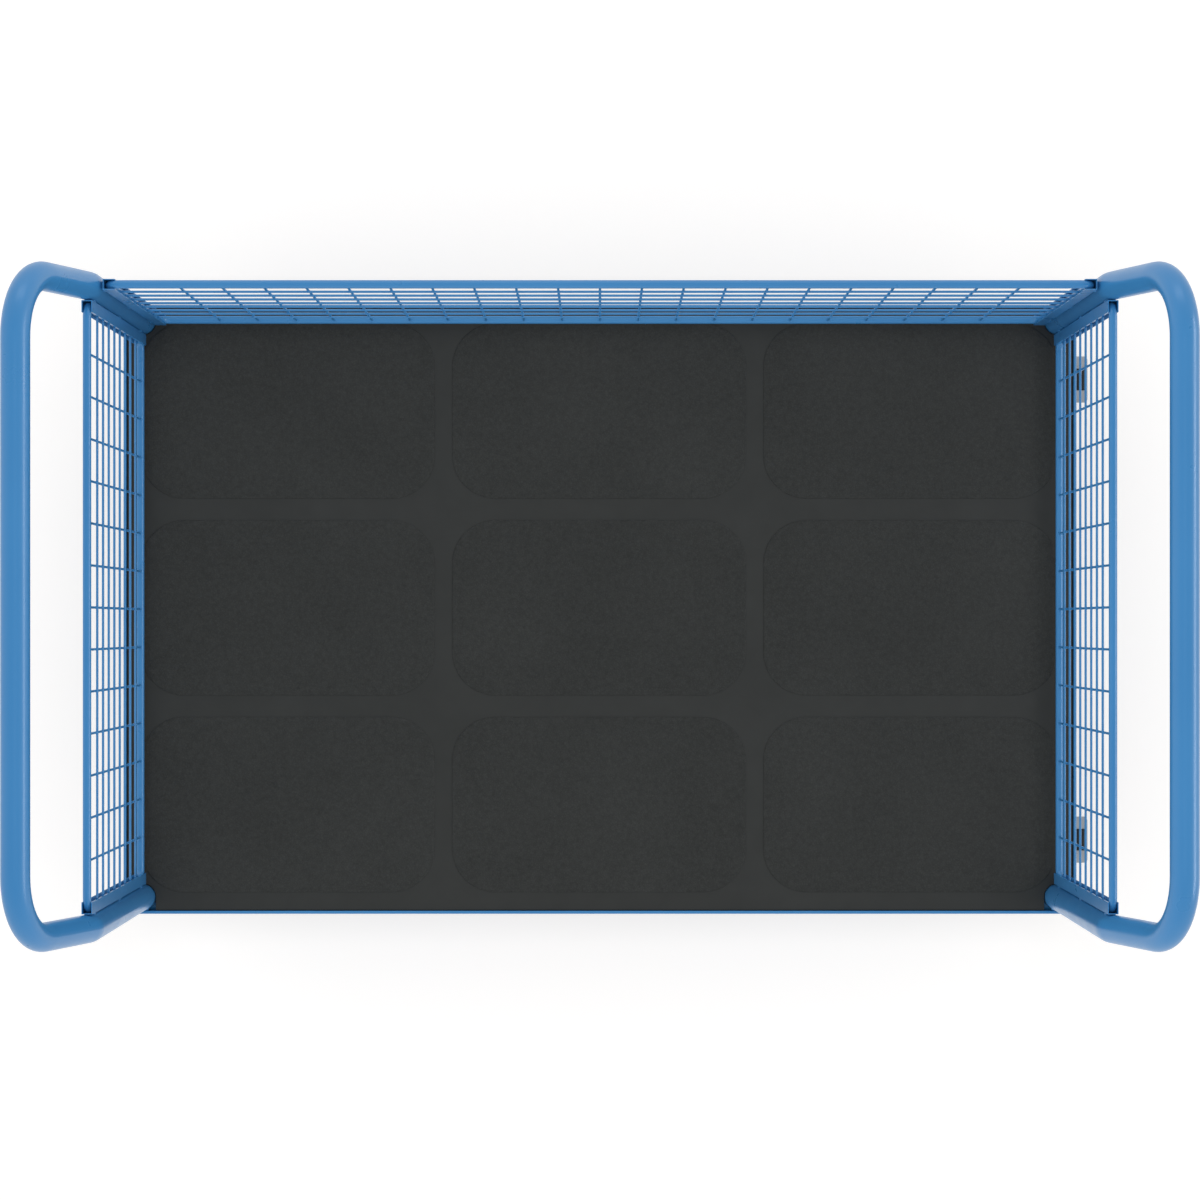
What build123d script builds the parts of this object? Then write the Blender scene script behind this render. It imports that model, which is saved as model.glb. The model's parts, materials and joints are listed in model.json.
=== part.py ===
# Platform trolley with three mesh sides, in millimetres.
# The origin is on the floor under the middle of the deck. X runs along the deck, Z is up, and the back
# panel stands on the +Y side. The fixed casters are at the left end (-X), the braked ones at the right (+X).

import os
from math import cos, radians, sin

from build123d import *

# Deck frame: mitred rolled angle, standing leg outwards
frame_length = 1258.0
frame_width = 804.0
angle_thickness = 4.0
angle_flange = 45.0
angle_root = 3.0
angle_toe = 1.2
lip_stand = 1.0  # the lip's top above the pads

# Braces across the frame, of angle as well
brace_place = 210.0
brace_flange = 40.0
brace_height = 30.0

# Deck board and mat
board_thickness = 21.0
mat_thickness = 3.0
pad_relief = 1.0
pad_gap_x = 22.9
pad_gap_y = 28.4
pad_margin_x = 20.3
pad_margin_y = 22.5
pad_shift_x = -1.2  # the mat's pattern is moulded a little off its middle
pad_shift_y = 2.0
pad_corner = 57.0
deck_gap = 0.5  # board and mat to the lip and to the hoop legs

# Hoops: one bent tube each, legs in the frame's corners, flared out to the push handle
tube_diameter = 33.7
tube_wall = 2.0
leg_gap_x = 3.95
leg_gap_y = 1.15
flare_height = 488.0  # above the deck
handle_height = 677.0  # above the deck
handle_reach = 56.5  # outwards from the legs
flare_bend = 50.0
handle_bend = 75.0
foot_chamfer = 1.8  # weld preparation, also clears the angle's root
plug_length = 30.0

# Mesh panels
rod_diameter = 10.0
rod_bend = 15.0
wire_diameter = 3.0
wire_pitch = 50.0
wire_sink = 0.8  # crossed wires are welded into each other
panel_shift = 0.9  # panels outwards from the plane of the hoop's legs
panel_low = 10.0  # bottom rail's axis above the deck
panel_high = 500.0  # top rail's axis above the deck

# U-channels on the hoop legs
channel_wall = 1.0
channel_depth = 14.2
channel_gap = 1.0  # web to tube, bridged by tack welds
channel_stand = 2.0  # above the top rail's axis
rod_play = 0.3
stop_thickness = 1.5

# Caster plates and their bolts
caster_inset_x = 109.0
caster_inset_y = 93.0
caster_plate_x = 140.0
caster_plate_y = 110.0
caster_plate_thickness = 4.0
plate_corner = 8.0
bolt_spacing_x = 105.0
bolt_spacing_y = 80.0
bolt_radius = 5.0
mount_thickness = 8.0
mount_margin = 10.0
mount_edge = 5.0
kingpin_room = 5.0
washer_thickness = 2.0
washer_play = 0.05  # keeps bolt and washer separate solids
thread_fit = 0.05
hole_clearance = 0.5
head_chamfer = 1.0
bolt_flats = 16.0
bolt_head = 6.4
washer_rim = 4.0  # washer's edge beyond the bolt's shank

# Deck screws
screw_spacing = 200.0
screw_radius = 2.5
screw_depth = 14.0
screw_head = 5.5
screw_head_height = 3.0

# Wheels and forks
wheel_radius = 80.0
tread_width = 40.0
tyre_thickness = 20.0
hub_width = 46.0
hub_radius = 20.0
rim_thickness = 7.0
rim_set_back = 2.0  # rim's edge inside the tyre's
web_thickness = 6.0
rib_count = 8
rib_thickness = 3.5
bearing_radius = 13.0
axle_radius = 6.0
axle_flats = 18.0
axle_head = 7.5
axle_nut_height = 10.0
axle_end = 2.5  # thread beyond the nut
fork_play = 1.0  # hub face to fork arm
arm_thickness = 4.0
boss_radius = 18.0
fixed_arm_top = 40.0  # half the arm's width at its plate
swivel_arm_top = 34.0
head_room = 35.0  # caster's height above its tyre
trail = 45.0
running_fit = 0.05

# Swivel head
crown_radius = 42.0
crown_drop = 17.0  # crown's upper face below the caster plate's top
race_inner = 20.0
race_outer = 34.0
ball_radius = 4.0
ball_circle = 27.0
ball_count = 18
skirt_outer = 39.0
skirt_thickness = 2.5
kingpin_radius = 6.0
kingpin_head = 11.0
kingpin_head_height = 5.0
kingpin_rivet_height = 7.0
kingpin_play = 0.3
race_gap = 3.0  # between the two races, at the balls

# Brake pedal
pivot_clearance = 5.98  # pivot's axis outside the tyre
pivot_angle = 56.86
pivot_radius = 4.0
pin_head = 2.0
lug_radius = 10.0
pedal_overhang = 9.7  # tread's tip beyond the tyre
pedal_thickness = 2.5
pedal_corner = 5.0
tread_drop = 5.0  # tread's lower face below the pivot's axis
shoe_radius = 6.0
shoe_gap = 5.5
shoe_angle = 42.0
pedal_pad_width = 29.0
pedal_pad_thickness = 3.0

# Heights above the floor
caster_height = 2 * wheel_radius + head_room
mount_top = caster_height + mount_thickness
flange_top = mount_top + angle_thickness
board_top = flange_top + board_thickness
mat_top = board_top + mat_thickness
deck = mat_top + pad_relief
lip_top = deck + lip_stand

# Places in plan
half_length = frame_length / 2
half_width = frame_width / 2
tube_radius = tube_diameter / 2
leg_x = half_length - angle_thickness - leg_gap_x - tube_radius
leg_y = half_width - angle_thickness - leg_gap_y - tube_radius
caster_x = half_length - caster_inset_x
caster_y = half_width - caster_inset_y
corners = [(x, y) for x in (-1, 1) for y in (-1, 1)]
leg_places = [(sx * leg_x, sy * leg_y) for sx, sy in corners]
caster_places = [(sx * caster_x, sy * caster_y) for sx, sy in corners]
rod_radius = rod_diameter / 2
wire_radius = wire_diameter / 2

# Channel and panel spans, measured from the tube inwards
web_outer_x = leg_x - tube_radius - channel_gap
web_outer_y = leg_y - tube_radius - channel_gap
panel_x = leg_x + panel_shift
panel_y = leg_y + panel_shift
rod_inset = channel_wall + rod_play + rod_radius
panel_half_x = web_outer_x - rod_inset
panel_half_y = web_outer_y - rod_inset

axle_height = wheel_radius
pedal_pivot_x = (wheel_radius + pivot_clearance) * cos(radians(pivot_angle))
pedal_pivot_z = (wheel_radius + pivot_clearance) * sin(radians(pivot_angle))
fork_gap = hub_width + 2 * fork_play
arm_offset = fork_gap / 2 + arm_thickness / 2
crown_top = caster_height - crown_drop
screw_x = half_length - angle_thickness - (angle_flange - angle_thickness) / 2
screw_y = half_width - angle_thickness - (angle_flange - angle_thickness) / 2


def level(x, y, z):
    """Horizontal sketch plane."""
    return Plane(origin=(x, y, z))


def upright(x, y, z):
    """Vertical sketch plane seen from the front: its axes are X and Z."""
    return Plane(origin=(x, y, z), x_dir=(1, 0, 0), z_dir=(0, -1, 0))


def radial(x, y, z):
    """Vertical sketch plane seen from the right end: its axes are Y and Z."""
    return Plane(origin=(x, y, z), x_dir=(0, 1, 0), z_dir=(1, 0, 0))


def across(x, y, z):
    """Vertical sketch plane across the trolley, its normal along Y."""
    return Plane(origin=(x, y, z), x_dir=(1, 0, 0), z_dir=(0, 1, 0))


def save(piece, name):
    piece.part.label = name
    export_step(piece.part, f"parts/{name}.step")


def screw_places():
    """Deck screws along the middle of the frame's flanges, clear of the caster plates."""
    along_x = int((half_length - 2 * caster_inset_x) // screw_spacing)
    along_y = int((half_width - 2 * caster_inset_y) // screw_spacing) + 1
    places = [(i * screw_spacing, s * screw_y) for i in range(-along_x, along_x + 1) for s in (-1, 1)]
    for s in (-1, 1):
        places += [(s * screw_x, (i - (along_y - 1) / 2) * screw_spacing) for i in range(along_y)]
    return places


def make_rail(name, along, inward, rail_half, offset):
    """One side of the deck frame, an angle section mitred at both ends."""
    toe, heel = -offset + angle_flange, -offset
    section = [
        (heel, mount_top),
        (toe, mount_top),
        (toe, flange_top),
        (heel + angle_thickness, flange_top),
        (heel + angle_thickness, lip_top),
        (heel, lip_top),
    ]
    radii = [angle_toe, 0, angle_toe, angle_root, angle_toe, angle_toe]
    with BuildPart() as rail:
        with BuildSketch(Plane(origin=(0, 0, 0), x_dir=inward, z_dir=along)):
            with BuildLine():
                FilletPolyline(*section, radius=radii, close=True)
            make_face()
        extrude(amount=rail_half, both=True)
        for end in (-1, 1):
            corner = Vector(along) * end * rail_half - Vector(inward) * offset
            mitre = Vector(along) * end + Vector(inward)
            split(bisect_by=Plane(origin=corner, z_dir=mitre), keep=Keep.BOTTOM)
        with BuildSketch(level(0, 0, mount_top)):
            with Locations(*leg_places):
                Circle(bolt_radius + hole_clearance)
            with Locations(*screw_places()):
                Circle(screw_radius + hole_clearance)
        extrude(amount=angle_thickness, mode=Mode.SUBTRACT)
    save(rail, name)


def make_frame():
    make_rail("rail_front", (1, 0, 0), (0, 1, 0), half_length, half_width)
    make_rail("rail_back", (-1, 0, 0), (0, -1, 0), half_length, half_width)
    make_rail("rail_right", (0, 1, 0), (-1, 0, 0), half_width, half_length)
    make_rail("rail_left", (0, -1, 0), (1, 0, 0), half_width, half_length)


def make_braces():
    """Two angles across the frame, butt welded between the long rails' flanges."""
    span = frame_width - 2 * angle_flange
    with BuildPart() as braces:
        for side in (-1, 1):
            start = (side * brace_place, 0, flange_top)
            section = Plane(origin=start, x_dir=(side, 0, 0), z_dir=(0, -side, 0))
            with BuildSketch(section):
                with BuildLine():
                    FilletPolyline(
                        (0, 0),
                        (0, -brace_height),
                        (angle_thickness, -brace_height),
                        (angle_thickness, -angle_thickness),
                        (brace_flange, -angle_thickness),
                        (brace_flange, 0),
                        radius=[0, angle_toe, angle_root, angle_toe, 0, angle_toe],
                        close=True,
                    )
                make_face()
            extrude(amount=span / 2, both=True)
    save(braces, "cross_braces")


def make_mounting_plates():
    """One plate under each corner, tapped for the caster and drilled for the hoop's bolt."""
    low_x, high_x = caster_x - caster_plate_x / 2 - mount_margin, half_length - mount_edge
    low_y, high_y = caster_y - caster_plate_y / 2 - mount_margin, half_width - mount_edge
    middle = ((low_x + high_x) / 2, (low_y + high_y) / 2)
    with BuildPart() as plates:
        with BuildSketch(level(0, 0, caster_height)):
            with Locations(*[(sx * middle[0], sy * middle[1]) for sx, sy in corners]):
                RectangleRounded(high_x - low_x, high_y - low_y, plate_corner)
        extrude(amount=mount_thickness)
        with BuildSketch(level(0, 0, caster_height)):
            with Locations(*caster_places):
                Circle(kingpin_head + kingpin_room)
                with GridLocations(bolt_spacing_x, bolt_spacing_y, 2, 2):
                    Circle(bolt_radius + thread_fit)
            with Locations(*leg_places):
                Circle(bolt_radius + hole_clearance)
        extrude(amount=mount_thickness, mode=Mode.SUBTRACT)
    save(plates, "caster_mounting_plates")


def notch_sketch(clearance):
    """Room for the four hoop legs, open to the corner of the sheet."""
    notch = tube_radius + clearance
    out_x = half_length - leg_x
    out_y = half_width - leg_y
    for sx, sy in corners:
        with Locations((sx * leg_x, sy * leg_y)):
            Circle(notch)
        with Locations((sx * (leg_x + (out_x - notch) / 2), sy * (leg_y + out_y / 2))):
            Rectangle(notch + out_x, out_y)
        with Locations((sx * (leg_x + out_x / 2), sy * (leg_y + (out_y - notch) / 2))):
            Rectangle(out_x, notch + out_y)


def make_board():
    inner_x = frame_length - 2 * (angle_thickness + deck_gap)
    inner_y = frame_width - 2 * (angle_thickness + deck_gap)
    with BuildPart() as board:
        with BuildSketch(level(0, 0, flange_top)):
            Rectangle(inner_x, inner_y)
        extrude(amount=board_thickness)
        chamfer(board.faces().sort_by(Axis.Z)[0].edges(), angle_root)
        with BuildSketch(level(0, 0, flange_top)):
            notch_sketch(deck_gap)
        extrude(amount=board_thickness, mode=Mode.SUBTRACT)
        with BuildSketch(level(0, 0, flange_top)):
            with Locations(*screw_places()):
                Circle(screw_radius + thread_fit)
        extrude(amount=screw_depth + 1, mode=Mode.SUBTRACT)
    save(board, "deck_board")


def make_mat():
    """Rubber mat with three rows of three shallow raised pads."""
    inner_x = frame_length - 2 * (angle_thickness + deck_gap)
    inner_y = frame_width - 2 * (angle_thickness + deck_gap)
    lip_x = frame_length - 2 * angle_thickness
    lip_y = frame_width - 2 * angle_thickness
    pad_x = (lip_x - 2 * pad_margin_x - 2 * pad_gap_x) / 3
    pad_y = (lip_y - 2 * pad_margin_y - 2 * pad_gap_y) / 3
    with BuildPart() as mat:
        with BuildSketch(level(0, 0, board_top)):
            Rectangle(inner_x, inner_y)
        extrude(amount=mat_thickness)
        with BuildSketch(level(pad_shift_x, pad_shift_y, mat_top)):
            with GridLocations(pad_x + pad_gap_x, pad_y + pad_gap_y, 3, 3):
                RectangleRounded(pad_x, pad_y, pad_corner)
        extrude(amount=pad_relief)
        chamfer(mat.faces().filter_by(Axis.Z).group_by(Axis.Z)[-1].edges(), pad_relief * 0.8)
        with BuildSketch(level(0, 0, board_top)):
            notch_sketch(deck_gap)
        extrude(amount=mat_thickness + pad_relief, mode=Mode.SUBTRACT)
    save(mat, "deck_mat")


def make_hoop(name, side):
    """Round tube with four bends, standing on the frame's flange at both legs."""
    foot = flange_top
    route = [
        (side * leg_x, -leg_y, foot),
        (side * leg_x, -leg_y, deck + flare_height),
        (side * (leg_x + handle_reach), -leg_y, deck + handle_height),
        (side * (leg_x + handle_reach), leg_y, deck + handle_height),
        (side * leg_x, leg_y, deck + flare_height),
        (side * leg_x, leg_y, foot),
    ]
    with BuildPart() as hoop:
        with BuildLine() as path:
            FilletPolyline(*route, radius=[flare_bend, handle_bend, handle_bend, flare_bend])
        with BuildSketch(level(side * leg_x, -leg_y, foot)):
            Circle(tube_radius)
            Circle(tube_radius - tube_wall, mode=Mode.SUBTRACT)
        sweep(path=path.line)
        feet = hoop.edges().filter_by_position(Axis.Z, foot - 0.1, foot + 0.1)
        chamfer(feet.filter_by(lambda edge: edge.radius > tube_radius - tube_wall / 2), foot_chamfer)
    save(hoop, name)


def make_foot_plugs():
    """Tapped plug welded into the foot of each hoop leg."""
    with BuildPart() as plugs:
        with BuildSketch(level(0, 0, flange_top)):
            with Locations(*leg_places):
                Circle(tube_radius - tube_wall - thread_fit)
                Circle(bolt_radius + thread_fit, mode=Mode.SUBTRACT)
        extrude(amount=plug_length)
    save(plugs, "hoop_foot_plugs")


def hex_bolts(places, shoulder, tip):
    """Hexagon bolts that point up, with their heads below the shoulder."""
    head_low = shoulder - bolt_head
    with BuildSketch(level(0, 0, head_low)) as heads:
        with Locations(*places):
            RegularPolygon(bolt_flats / 2, 6, major_radius=False)
    extrude(heads.sketch, amount=bolt_head)
    chamfer(faces().filter_by_position(Axis.Z, head_low - 0.01, head_low + 0.01).edges(), head_chamfer)
    with BuildSketch(level(0, 0, shoulder)) as shanks:
        with Locations(*places):
            Circle(bolt_radius)
    extrude(shanks.sketch, amount=tip - shoulder)


def make_hoop_bolts():
    with BuildPart() as bolts:
        hex_bolts(leg_places, caster_height, flange_top + plug_length - 5)
    save(bolts, "hoop_bolts")


def make_caster_bolts():
    """Bolt and spring washer at each caster hole, screwed up into the tapped mounting plate."""
    reach_x, reach_y = bolt_spacing_x / 2, bolt_spacing_y / 2
    places = [(x + sx * reach_x, y + sy * reach_y) for x, y in caster_places for sx, sy in corners]
    washer_low = caster_height - caster_plate_thickness - washer_thickness
    with BuildPart() as bolts:
        hex_bolts(places, washer_low - washer_play, mount_top + 1)
        with BuildSketch(level(0, 0, washer_low)) as washers:
            with Locations(*places):
                Circle(bolt_radius + washer_rim)
                Circle(bolt_radius + hole_clearance / 2, mode=Mode.SUBTRACT)
        extrude(washers.sketch, amount=washer_thickness)
    save(bolts, "caster_bolts")


def make_deck_screws():
    """Pan head screws from below, through the flanges into the board."""
    with BuildPart() as screws:
        with BuildSketch(level(0, 0, mount_top - screw_head_height)):
            with Locations(*screw_places()):
                Circle(screw_head)
        extrude(amount=screw_head_height)
        chamfer(screws.faces().filter_by(Axis.Z).group_by(Axis.Z)[0].edges(), screw_head_height / 2)
        with BuildSketch(level(0, 0, mount_top)):
            with Locations(*screw_places()):
                Circle(screw_radius)
        extrude(amount=angle_thickness + screw_depth)
    save(screws, "deck_screws")


def channel(web, mouth):
    """One U-channel with a stop at its foot: in plan, the middle of its web and the way it opens."""
    stop_top = deck + panel_low - rod_radius - rod_play
    low = stop_top - stop_thickness
    high = deck + panel_high + channel_stand
    width = rod_diameter + 2 * rod_play + 2 * channel_wall
    base = Plane(origin=(web[0], web[1], low), x_dir=mouth, z_dir=(0, 0, 1))
    with BuildSketch(base) as section:
        with Locations((channel_depth / 2, 0)):
            Rectangle(channel_depth, width)
        with Locations((channel_wall + channel_depth / 2, 0)):
            Rectangle(channel_depth, width - 2 * channel_wall, mode=Mode.SUBTRACT)
    extrude(section.sketch, amount=high - low)
    with BuildSketch(base) as stop:
        with Locations((channel_depth / 2, 0)):
            Rectangle(channel_depth, width)
    extrude(stop.sketch, amount=stop_thickness)


def make_channels():
    for name, side in (("left_channels", -1), ("right_channels", 1)):
        with BuildPart() as pair:
            for end in (-1, 1):
                channel((side * panel_x, end * web_outer_y), (0, -end, 0))
        save(pair, name)
    with BuildPart() as pair:
        for end in (-1, 1):
            channel((end * web_outer_x, panel_y), (-end, 0, 0))
    save(pair, "back_channels")


def make_panel(name, centre, along, inward, half):
    """Border rod, upright wires in its plane and cross wires on the deck's side of them."""
    low, high = deck + panel_low, deck + panel_high
    face = Plane(origin=(centre[0], centre[1], 0), x_dir=along, z_dir=Vector(along).cross(Vector(0, 0, 1)))
    start = face.from_local_coords((0, low))
    with BuildPart() as border:
        with BuildLine(face) as loop:
            outline = [(half, low), (half, high), (-half, high), (-half, low)]
            FilletPolyline(*outline, radius=rod_bend, close=True)
        with BuildSketch(Plane(origin=start, z_dir=Vector(along))):
            Circle(rod_radius)
        sweep(path=loop.line)
    save(border, f"{name}_border_rod")

    bite = 1.0  # each wire's end sinks this far into the rod
    columns = int((half - wire_pitch) // wire_pitch)
    rail = low + rod_radius - bite
    with BuildPart() as uprights:
        with BuildSketch(level(centre[0], centre[1], rail)):
            with Locations(*[Vector(along) * i * wire_pitch for i in range(-columns, columns + 1)]):
                Circle(wire_radius)
        extrude(amount=high - low - 2 * (rod_radius - bite))
    save(uprights, f"{name}_upright_wires")

    pairs = int(((high - low) / 2 - wire_pitch / 2) // wire_pitch)
    middle = (low + high) / 2
    shift = Vector(inward) * (wire_diameter - wire_sink)
    reach = half - (rod_radius**2 - (wire_diameter - wire_sink) ** 2) ** 0.5 + bite
    origin = Vector(centre[0], centre[1], 0) + shift
    with BuildPart() as crosses:
        with BuildSketch(Plane(origin=origin, x_dir=(0, 0, 1), z_dir=along)):
            with Locations(*[(middle + (i - pairs + 0.5) * wire_pitch, 0) for i in range(2 * pairs)]):
                Circle(wire_radius)
        extrude(amount=reach, both=True)
    save(crosses, f"{name}_cross_wires")


def make_panels():
    make_panel("left", (-panel_x, 0), (0, 1, 0), (1, 0, 0), panel_half_y)
    make_panel("right", (panel_x, 0), (0, 1, 0), (-1, 0, 0), panel_half_y)
    make_panel("back", (0, panel_y), (1, 0, 0), (0, -1, 0), panel_half_x)


def make_wheel(name, x, y):
    """Tyre, ribbed rim and roller bearing about the axle at x, y."""
    centre = (x, y, axle_height)
    axle = Axis(centre, (0, 1, 0))
    seat = wheel_radius - tyre_thickness
    half = tread_width / 2
    shoulder = wheel_radius - 8
    crown = half - 7
    with BuildPart() as tyre:
        with BuildSketch(radial(*centre)):
            with BuildLine():
                Line((-half + 1, seat + thread_fit), (half - 1, seat + thread_fit))
                Line((half - 1, seat + thread_fit), (half, shoulder))
                ThreePointArc((half, shoulder), (half - 2.3, wheel_radius - 3), (crown, wheel_radius - 0.6))
                ThreePointArc((crown, wheel_radius - 0.6), (0, wheel_radius), (-crown, wheel_radius - 0.6))
                ThreePointArc((-crown, wheel_radius - 0.6), (2.3 - half, wheel_radius - 3), (-half, shoulder))
                Line((-half, shoulder), (-half + 1, seat + thread_fit))
            make_face()
        revolve(axis=axle)
    save(tyre, f"{name}_tyre")

    rim_half = half - rim_set_back
    rim_inner = seat - rim_thickness
    with BuildPart() as rim:
        with BuildSketch(radial(*centre)):
            with Locations((0, (bearing_radius + thread_fit + hub_radius) / 2)):
                Rectangle(hub_width, hub_radius - bearing_radius - thread_fit)
            with Locations((0, (hub_radius + rim_inner) / 2)):
                Rectangle(web_thickness, rim_inner - hub_radius + 2)
            with Locations((0, (rim_inner + seat) / 2)):
                Rectangle(2 * rim_half, seat - rim_inner)
        revolve(axis=axle)
        for i in range(rib_count):
            angle = radians(360 / rib_count * (i + 0.5))
            with BuildSketch(Plane(origin=centre, x_dir=(0, 1, 0), z_dir=(sin(angle), 0, -cos(angle)))):
                with Locations((0, (hub_radius + rim_inner) / 2)):
                    Rectangle(2 * rim_half - 8, rim_inner - hub_radius + 2)
            extrude(amount=rib_thickness / 2, both=True)
    save(rim, f"{name}_wheel_rim")

    with BuildPart() as bearing:
        with BuildSketch(across(*centre)):
            Circle(bearing_radius)
            Circle(axle_radius + running_fit, mode=Mode.SUBTRACT)
        extrude(amount=hub_width / 2, both=True)
    save(bearing, f"{name}_roller_bearing")


def arms(x, y, axle_x, top, top_half, lug=False):
    """Both arms of a fork, from its plate down to the axle bosses."""
    for side in (-1, 1):
        with BuildSketch(upright(0, y + side * arm_offset, 0)) as outline:
            with Locations((x, top - arm_thickness / 2)):
                Rectangle(2 * top_half, arm_thickness)
            with Locations((axle_x, axle_height)):
                Circle(boss_radius)
            if lug:
                with Locations((axle_x + pedal_pivot_x, axle_height + pedal_pivot_z)):
                    Circle(lug_radius)
            make_hull()
            with Locations((axle_x, axle_height)):
                Circle(axle_radius + running_fit, mode=Mode.SUBTRACT)
            if lug:
                with Locations((axle_x + pedal_pivot_x, axle_height + pedal_pivot_z)):
                    Circle(pivot_radius + running_fit, mode=Mode.SUBTRACT)
        extrude(outline.sketch, amount=arm_thickness / 2, both=True)


def bolted_plate(x, y):
    """Caster top plate with its four bolt holes."""
    with BuildSketch(level(x, y, caster_height - caster_plate_thickness)) as outline:
        RectangleRounded(caster_plate_x, caster_plate_y, plate_corner)
        with GridLocations(bolt_spacing_x, bolt_spacing_y, 2, 2):
            Circle(bolt_radius + hole_clearance, mode=Mode.SUBTRACT)
    extrude(outline.sketch, amount=caster_plate_thickness)


def make_fixed_caster(name, x, y):
    with BuildPart() as fork:
        bolted_plate(x, y)
        arms(x, y, x, caster_height - caster_plate_thickness + 1, fixed_arm_top)
    save(fork, f"{name}_fixed_fork")
    make_wheel(name, x, y)


def axle_bolt(x, y):
    """Hexagon bolt through both arms, its head on the front side."""
    outer = arm_offset + arm_thickness / 2
    with BuildSketch(across(x, y - outer - axle_head, axle_height)) as head:
        RegularPolygon(axle_flats / 2, 6, major_radius=False)
    extrude(head.sketch, amount=axle_head)
    end = y - outer - axle_head
    chamfer(faces().filter_by_position(Axis.Y, end - 0.01, end + 0.01).edges(), head_chamfer)
    with BuildSketch(across(x, y - outer, axle_height)) as shank:
        Circle(axle_radius)
    extrude(shank.sketch, amount=2 * outer + axle_nut_height + axle_end)


def axle_nut(x, y):
    outer = arm_offset + arm_thickness / 2
    with BuildSketch(across(x, y + outer, axle_height)) as outline:
        RegularPolygon(axle_flats / 2, 6, major_radius=False)
        Circle(axle_radius + thread_fit, mode=Mode.SUBTRACT)
    extrude(outline.sketch, amount=axle_nut_height)
    end = y + outer + axle_nut_height
    rim = faces().filter_by_position(Axis.Y, end - 0.01, end + 0.01).edges().filter_by(GeomType.LINE)
    chamfer(rim, head_chamfer)


def make_fixed_axles():
    places = [place for place in caster_places if place[0] < 0]
    with BuildPart() as bolts:
        for x, y in places:
            axle_bolt(x, y)
    save(bolts, "fixed_axle_bolts")
    with BuildPart() as nuts:
        for x, y in places:
            axle_nut(x, y)
    save(nuts, "fixed_axle_nuts")


def ball_race(x, y, low, high):
    """Flat ring that carries the ball groove."""
    with BuildSketch(level(x, y, low)) as ring:
        Circle(race_outer)
        Circle(race_inner, mode=Mode.SUBTRACT)
    extrude(ring.sketch, amount=high - low)


def ball_groove(x, y, ball_height):
    """Round groove for the balls, cut all the way round."""
    with BuildSketch(upright(x, y, ball_height)) as groove:
        with Locations((ball_circle, 0)):
            Circle(ball_radius + running_fit)
    revolve(groove.sketch, axis=Axis((x, y, 0), (0, 0, 1)), mode=Mode.SUBTRACT)


def make_swivel_head(name, x, y):
    plate_low = caster_height - caster_plate_thickness
    ball_height = (plate_low + crown_top) / 2
    with BuildPart() as plate:
        bolted_plate(x, y)
        ball_race(x, y, ball_height + race_gap / 2, plate_low)
        with BuildSketch(level(x, y, crown_top + race_gap / 2)):
            Circle(skirt_outer)
            Circle(skirt_outer - skirt_thickness, mode=Mode.SUBTRACT)
        extrude(amount=plate_low - crown_top - race_gap / 2)
        ball_groove(x, y, ball_height)
        with BuildSketch(level(x, y, plate_low)):
            Circle(kingpin_radius + thread_fit)
        extrude(amount=caster_plate_thickness, mode=Mode.SUBTRACT)
    save(plate, f"{name}_top_plate")

    with BuildPart() as balls:
        with Locations(Location((x, y, ball_height))):
            with PolarLocations(ball_circle, ball_count):
                Sphere(ball_radius)
    save(balls, f"{name}_bearing_balls")

    rivet_low = crown_top - arm_thickness - kingpin_rivet_height
    with BuildPart() as kingpin:
        with BuildSketch(level(x, y, rivet_low)):
            Circle(kingpin_head)
        extrude(amount=kingpin_rivet_height - kingpin_play)
        with BuildSketch(level(x, y, rivet_low)):
            Circle(kingpin_radius)
        extrude(amount=caster_height - rivet_low)
        with BuildSketch(level(x, y, caster_height)):
            Circle(kingpin_head)
        extrude(amount=kingpin_head_height)
        fillet(kingpin.faces().sort_by(Axis.Z)[-1].edges(), 2)
    save(kingpin, f"{name}_kingpin")

    with BuildPart() as fork:
        with BuildSketch(level(x, y, crown_top - arm_thickness)):
            Circle(crown_radius)
        extrude(amount=arm_thickness)
        ball_race(x, y, crown_top, ball_height - race_gap / 2)
        ball_groove(x, y, ball_height)
        arms(x, y, x + trail, crown_top, swivel_arm_top, lug=True)
        with BuildSketch(level(x, y, crown_top - arm_thickness)):
            Circle(kingpin_radius + running_fit)
        extrude(amount=arm_thickness, mode=Mode.SUBTRACT)
    save(fork, f"{name}_fork")


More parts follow.
